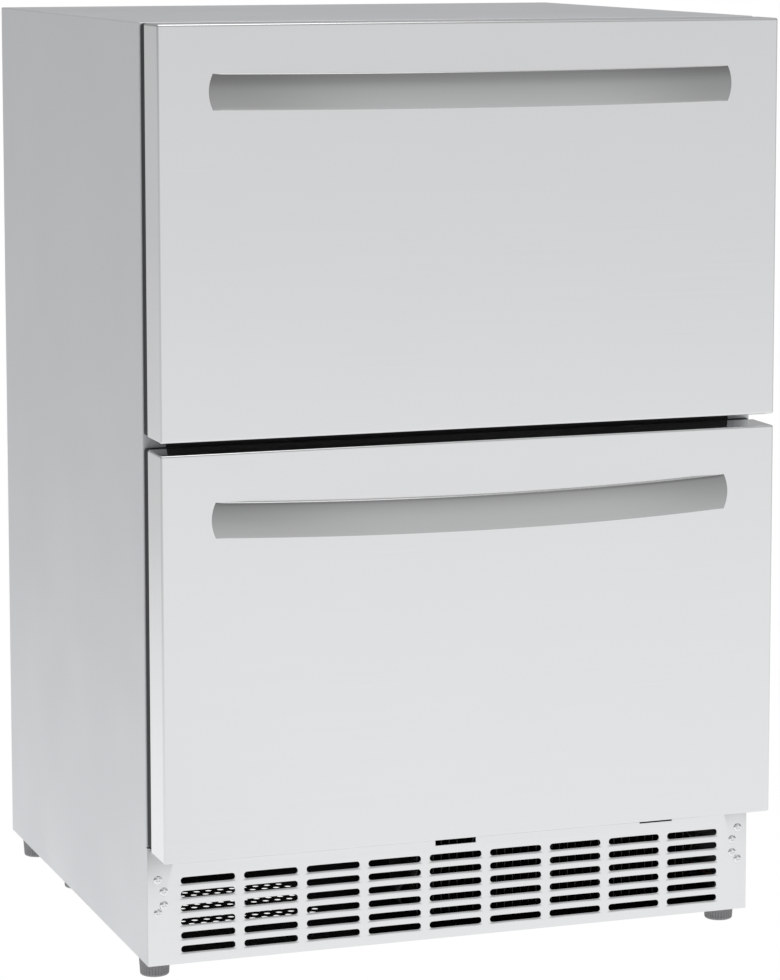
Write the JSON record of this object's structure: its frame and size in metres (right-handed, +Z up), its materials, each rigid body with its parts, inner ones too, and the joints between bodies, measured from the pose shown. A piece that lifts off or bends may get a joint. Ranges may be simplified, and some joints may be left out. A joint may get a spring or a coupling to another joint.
{
  "type": "under counter fridge",
  "caption": "Under-counter refrigerator in brushed steel: two full-width drawers with bow handles over a slotted grille, on short levelling feet.",
  "frame": {"origin": "on the floor, under the middle of the fridge's overall box, handles included", "axes": "+Z up, +Y to the back, +X to the right as the user faces the drawers, which open towards -Y"},
  "size_m": [0.595, 0.6258, 0.872],
  "materials": {
    "stainless_cabinet": "satin",
    "stainless_front": "satin",
    "stainless_handle": "satin",
    "galvanised_sheet": "satin",
    "black_sheet": "matte",
    "black_plastic": "matte",
    "liner_plastic": "satin",
    "insulation_foam": "matte",
    "gasket_rubber": "matte",
    "foot_plastic": "matte",
    "black_enamel": "gloss",
    "copper": "satin",
    "aluminium_fins": "satin",
    "mount_rubber": "matte",
    "zinc_rail": "satin",
    "screw_steel": "satin",
    "light_diffuser": "satin",
    "white_plastic": "satin"
  },
  "bodies": {
    "cabinet": {"outer_wrapper": "stainless_cabinet", "rear_panel": "galvanised_sheet", "rear_vent_cover": "galvanised_sheet", "base_pan": "black_sheet", "compartment_roof": "galvanised_sheet", "foam_insulation": "insulation_foam", "inner_liner": "liner_plastic", "centre_mullion": "black_plastic", "front_grille": "stainless_front", "panel_screws": "screw_steel", "compressor": "black_enamel", "compressor_mounts": "mount_rubber", "compressor_terminal_cover": "black_plastic", "condenser_coil": "black_enamel", "condenser_fan_motor": "black_plastic", "condenser_fan_shroud": "black_plastic", "drain_pan": "black_plastic", "filter_drier": "copper", "refrigerant_lines": "copper", "power_inlet": "black_plastic", "evaporator_coil": "aluminium_fins", "evaporator_cover": "liner_plastic", "evaporator_fan_motor": "black_plastic", "interior_light": "light_diffuser", "control_housing": "white_plastic", "top_cabinet_rail_left": "zinc_rail", "top_cabinet_rail_right": "zinc_rail", "bottom_cabinet_rail_left": "zinc_rail", "bottom_cabinet_rail_right": "zinc_rail"},
    "condenser_fan": {"condenser_fan_blade": "black_plastic"},
    "evaporator_fan": {"evaporator_fan_blade": "white_plastic"},
    "knob": {"control_knob": "white_plastic"},
    "foot_front_left": {"foot_front_left": "foot_plastic"},
    "foot_front_right": {"foot_front_right": "foot_plastic"},
    "foot_middle_left": {"foot_middle_left": "foot_plastic"},
    "foot_middle_right": {"foot_middle_right": "foot_plastic"},
    "foot_rear_left": {"foot_rear_left": "foot_plastic"},
    "foot_rear_right": {"foot_rear_right": "foot_plastic"},
    "top_drawer": {"top_front_skin": "stainless_front", "top_front_core": "insulation_foam", "top_front_inner": "liner_plastic", "top_gasket": "gasket_rubber", "top_handle": "stainless_handle", "top_handle_screws": "screw_steel", "top_drawer_box": "stainless_cabinet", "top_drawer_rail_left": "zinc_rail", "top_drawer_rail_right": "zinc_rail"},
    "top_middle_rails": {"top_middle_rail_left": "zinc_rail", "top_middle_rail_right": "zinc_rail"},
    "bottom_drawer": {"bottom_front_skin": "stainless_front", "bottom_front_core": "insulation_foam", "bottom_front_inner": "liner_plastic", "bottom_gasket": "gasket_rubber", "bottom_handle": "stainless_handle", "bottom_handle_screws": "screw_steel", "bottom_drawer_box": "stainless_cabinet", "bottom_drawer_rail_left": "zinc_rail", "bottom_drawer_rail_right": "zinc_rail"},
    "bottom_middle_rails": {"bottom_middle_rail_left": "zinc_rail", "bottom_middle_rail_right": "zinc_rail"}
  },
  "joints": [
    {"name": "top_drawer_slide", "type": "slide", "parent": "cabinet", "child": "top_drawer", "axis": [0, -1, 0], "range_m": [0, 0.4]},
    {"name": "top_middle_rail_slide", "type": "slide", "parent": "cabinet", "child": "top_middle_rails", "axis": [0, -1, 0], "range_m": [0, 0.2]},
    {"name": "bottom_drawer_slide", "type": "slide", "parent": "cabinet", "child": "bottom_drawer", "axis": [0, -1, 0], "range_m": [0, 0.4]},
    {"name": "bottom_middle_rail_slide", "type": "slide", "parent": "cabinet", "child": "bottom_middle_rails", "axis": [0, -1, 0], "range_m": [0, 0.2]},
    {"name": "condenser_fan_spin", "type": "hinge", "parent": "cabinet", "child": "condenser_fan", "pos_m": [0.115, -0.13105, 0.072], "axis": [0, 1, 0], "continuous": true},
    {"name": "evaporator_fan_spin", "type": "hinge", "parent": "cabinet", "child": "evaporator_fan", "pos_m": [0.12, 0.22595, 0.69], "axis": [0, 1, 0], "continuous": true},
    {"name": "temperature_knob_turn", "type": "hinge", "parent": "cabinet", "child": "knob", "pos_m": [0.06, -0.18605, 0.818], "axis": [0, 1, 0], "range_deg": [0, 270]},
    {"name": "foot_front_left_turn", "type": "hinge", "parent": "cabinet", "child": "foot_front_left", "pos_m": [-0.283, -0.18935, 0.008], "axis": [0, 0, 1], "continuous": true},
    {"name": "foot_front_right_turn", "type": "hinge", "parent": "cabinet", "child": "foot_front_right", "pos_m": [0.283, -0.18935, 0.008], "axis": [0, 0, 1], "continuous": true},
    {"name": "foot_middle_left_turn", "type": "hinge", "parent": "cabinet", "child": "foot_middle_left", "pos_m": [-0.274, 0.12995, 0.008], "axis": [0, 0, 1], "continuous": true},
    {"name": "foot_middle_right_turn", "type": "hinge", "parent": "cabinet", "child": "foot_middle_right", "pos_m": [0.274, 0.12995, 0.008], "axis": [0, 0, 1], "continuous": true},
    {"name": "foot_rear_left_turn", "type": "hinge", "parent": "cabinet", "child": "foot_rear_left", "pos_m": [-0.283, 0.26445, 0.008], "axis": [0, 0, 1], "continuous": true},
    {"name": "foot_rear_right_turn", "type": "hinge", "parent": "cabinet", "child": "foot_rear_right", "pos_m": [0.283, 0.26445, 0.008], "axis": [0, 0, 1], "continuous": true}
  ],
  "couplings": [
    {"joint": "top_middle_rail_slide", "follows": "top_drawer_slide", "ratio": 0.5},
    {"joint": "bottom_middle_rail_slide", "follows": "bottom_drawer_slide", "ratio": 0.5}
  ]
}
